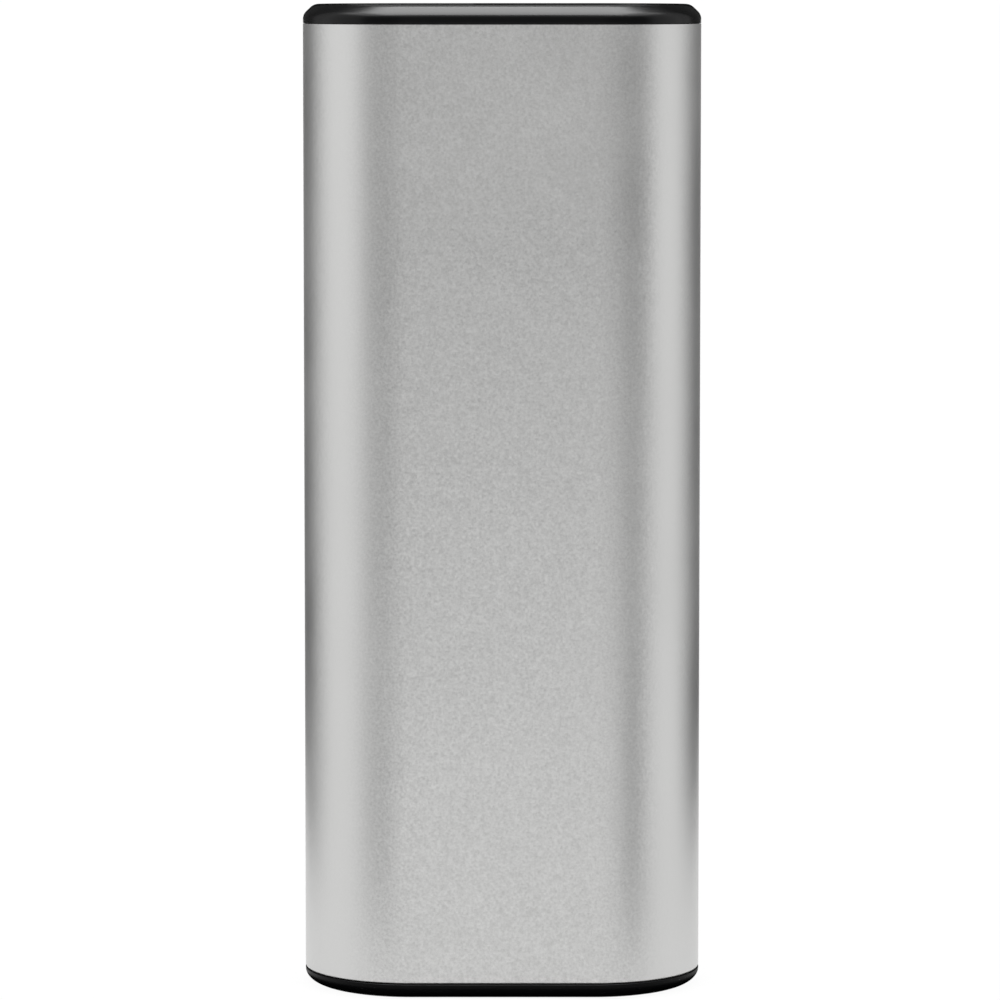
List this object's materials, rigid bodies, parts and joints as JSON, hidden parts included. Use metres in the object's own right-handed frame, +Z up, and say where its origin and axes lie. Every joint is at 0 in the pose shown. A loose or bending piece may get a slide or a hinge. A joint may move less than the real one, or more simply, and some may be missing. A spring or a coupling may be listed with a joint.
{
  "type": "rechargeable hand warmer",
  "caption": "Pocket hand warmer: an aluminium sleeve with rounded ends, black end caps, cells, film heaters, a charging port, an outlet, charge lights and a press button.",
  "frame": {"origin": "middle of the flat base, under the bottom cap", "axes": "+Z up along the sleeve towards the cap with the ports, front face towards -Y, width along X"},
  "size_m": [0.0404, 0.024, 0.1],
  "materials": {
    "anodised_aluminium": "bead-blasted and clear anodised",
    "black_cap": "fine moulded satin",
    "black_button": "moulded satin",
    "grey_carrier": "moulded",
    "white_insulator": "moulded",
    "black_insulator": "moulded",
    "clear_guide": "clear moulded plastic",
    "pad_rubber": "matt",
    "port_steel": "bright plated",
    "screw_steel": "zinc plated",
    "nickel_strip": "nickel plated",
    "cell_wrap": "shrunk film",
    "card": "pressed card",
    "amber_film": "amber film",
    "insulation_felt": "felt",
    "green_board": "solder mask",
    "dark_ferrite": "pressed ferrite"
  },
  "bodies": {
    "case": {"tube_shell": "anodised_aluminium", "top_cap": "black_cap", "bottom_cap": "black_cap", "foot_pad": "pad_rubber", "bottom_screw_front": "screw_steel", "bottom_screw_back": "screw_steel", "cell_carrier": "grey_carrier", "cell_left": "cell_wrap", "cell_right": "cell_wrap", "insulator_ring_left": "card", "insulator_ring_right": "card", "negative_tab": "nickel_strip", "positive_tab": "nickel_strip", "heater_front": "amber_film", "heater_back": "amber_film", "insulation_front": "insulation_felt", "insulation_back": "insulation_felt", "thermistor": "black_insulator", "sensor_lead": "white_insulator", "main_board": "green_board", "board_screw_left": "screw_steel", "board_screw_right": "screw_steel", "controller_chip": "black_insulator", "charger_chip": "black_insulator", "inductor": "dark_ferrite", "capacitor_left": "port_steel", "capacitor_right": "port_steel", "usb_a_shell": "port_steel", "usb_a_insert": "white_insulator", "usb_c_shell": "port_steel", "usb_c_insert": "black_insulator", "usb_c_riser": "black_insulator", "switch_body": "black_insulator", "status_led_1": "white_insulator", "status_led_2": "white_insulator", "status_led_3": "white_insulator", "status_led_4": "white_insulator", "light_guide": "clear_guide"},
    "button": {"power_button": "black_button", "switch_plunger": "white_insulator"}
  },
  "joints": [
    {"name": "button_press", "type": "slide", "parent": "case", "child": "button", "axis": [0, 0, -1], "range_m": [0, 0.0004], "stiffness_N_per_m": 4000}
  ]
}
